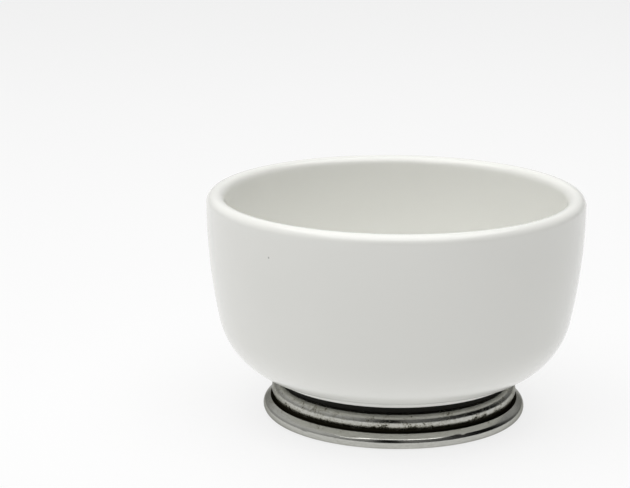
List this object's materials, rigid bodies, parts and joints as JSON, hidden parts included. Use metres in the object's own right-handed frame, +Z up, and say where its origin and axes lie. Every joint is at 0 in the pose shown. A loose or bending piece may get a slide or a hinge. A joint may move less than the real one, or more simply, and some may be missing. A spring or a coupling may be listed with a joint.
{
  "type": "shaving bowl",
  "caption": "Round glazed ceramic lather bowl with a thick rounded rim, standing on a turned pewter foot ring; holds shaving soap or cream while a brush works up lather.",
  "frame": {"origin": "centre of the foot's underside, on the surface the bowl stands on", "axes": "+Z up along the axis of revolution; the front of the picture looks along +Y, with +X to the right"},
  "size_m": [0.125, 0.125, 0.0745],
  "materials": {
    "glaze": "gloss",
    "bond": "satin",
    "pewter": "satin"
  },
  "bodies": {
    "root": {"ceramic_bowl": "glaze", "bond_ring": "bond", "pewter_foot": "pewter"}
  },
  "joints": []
}
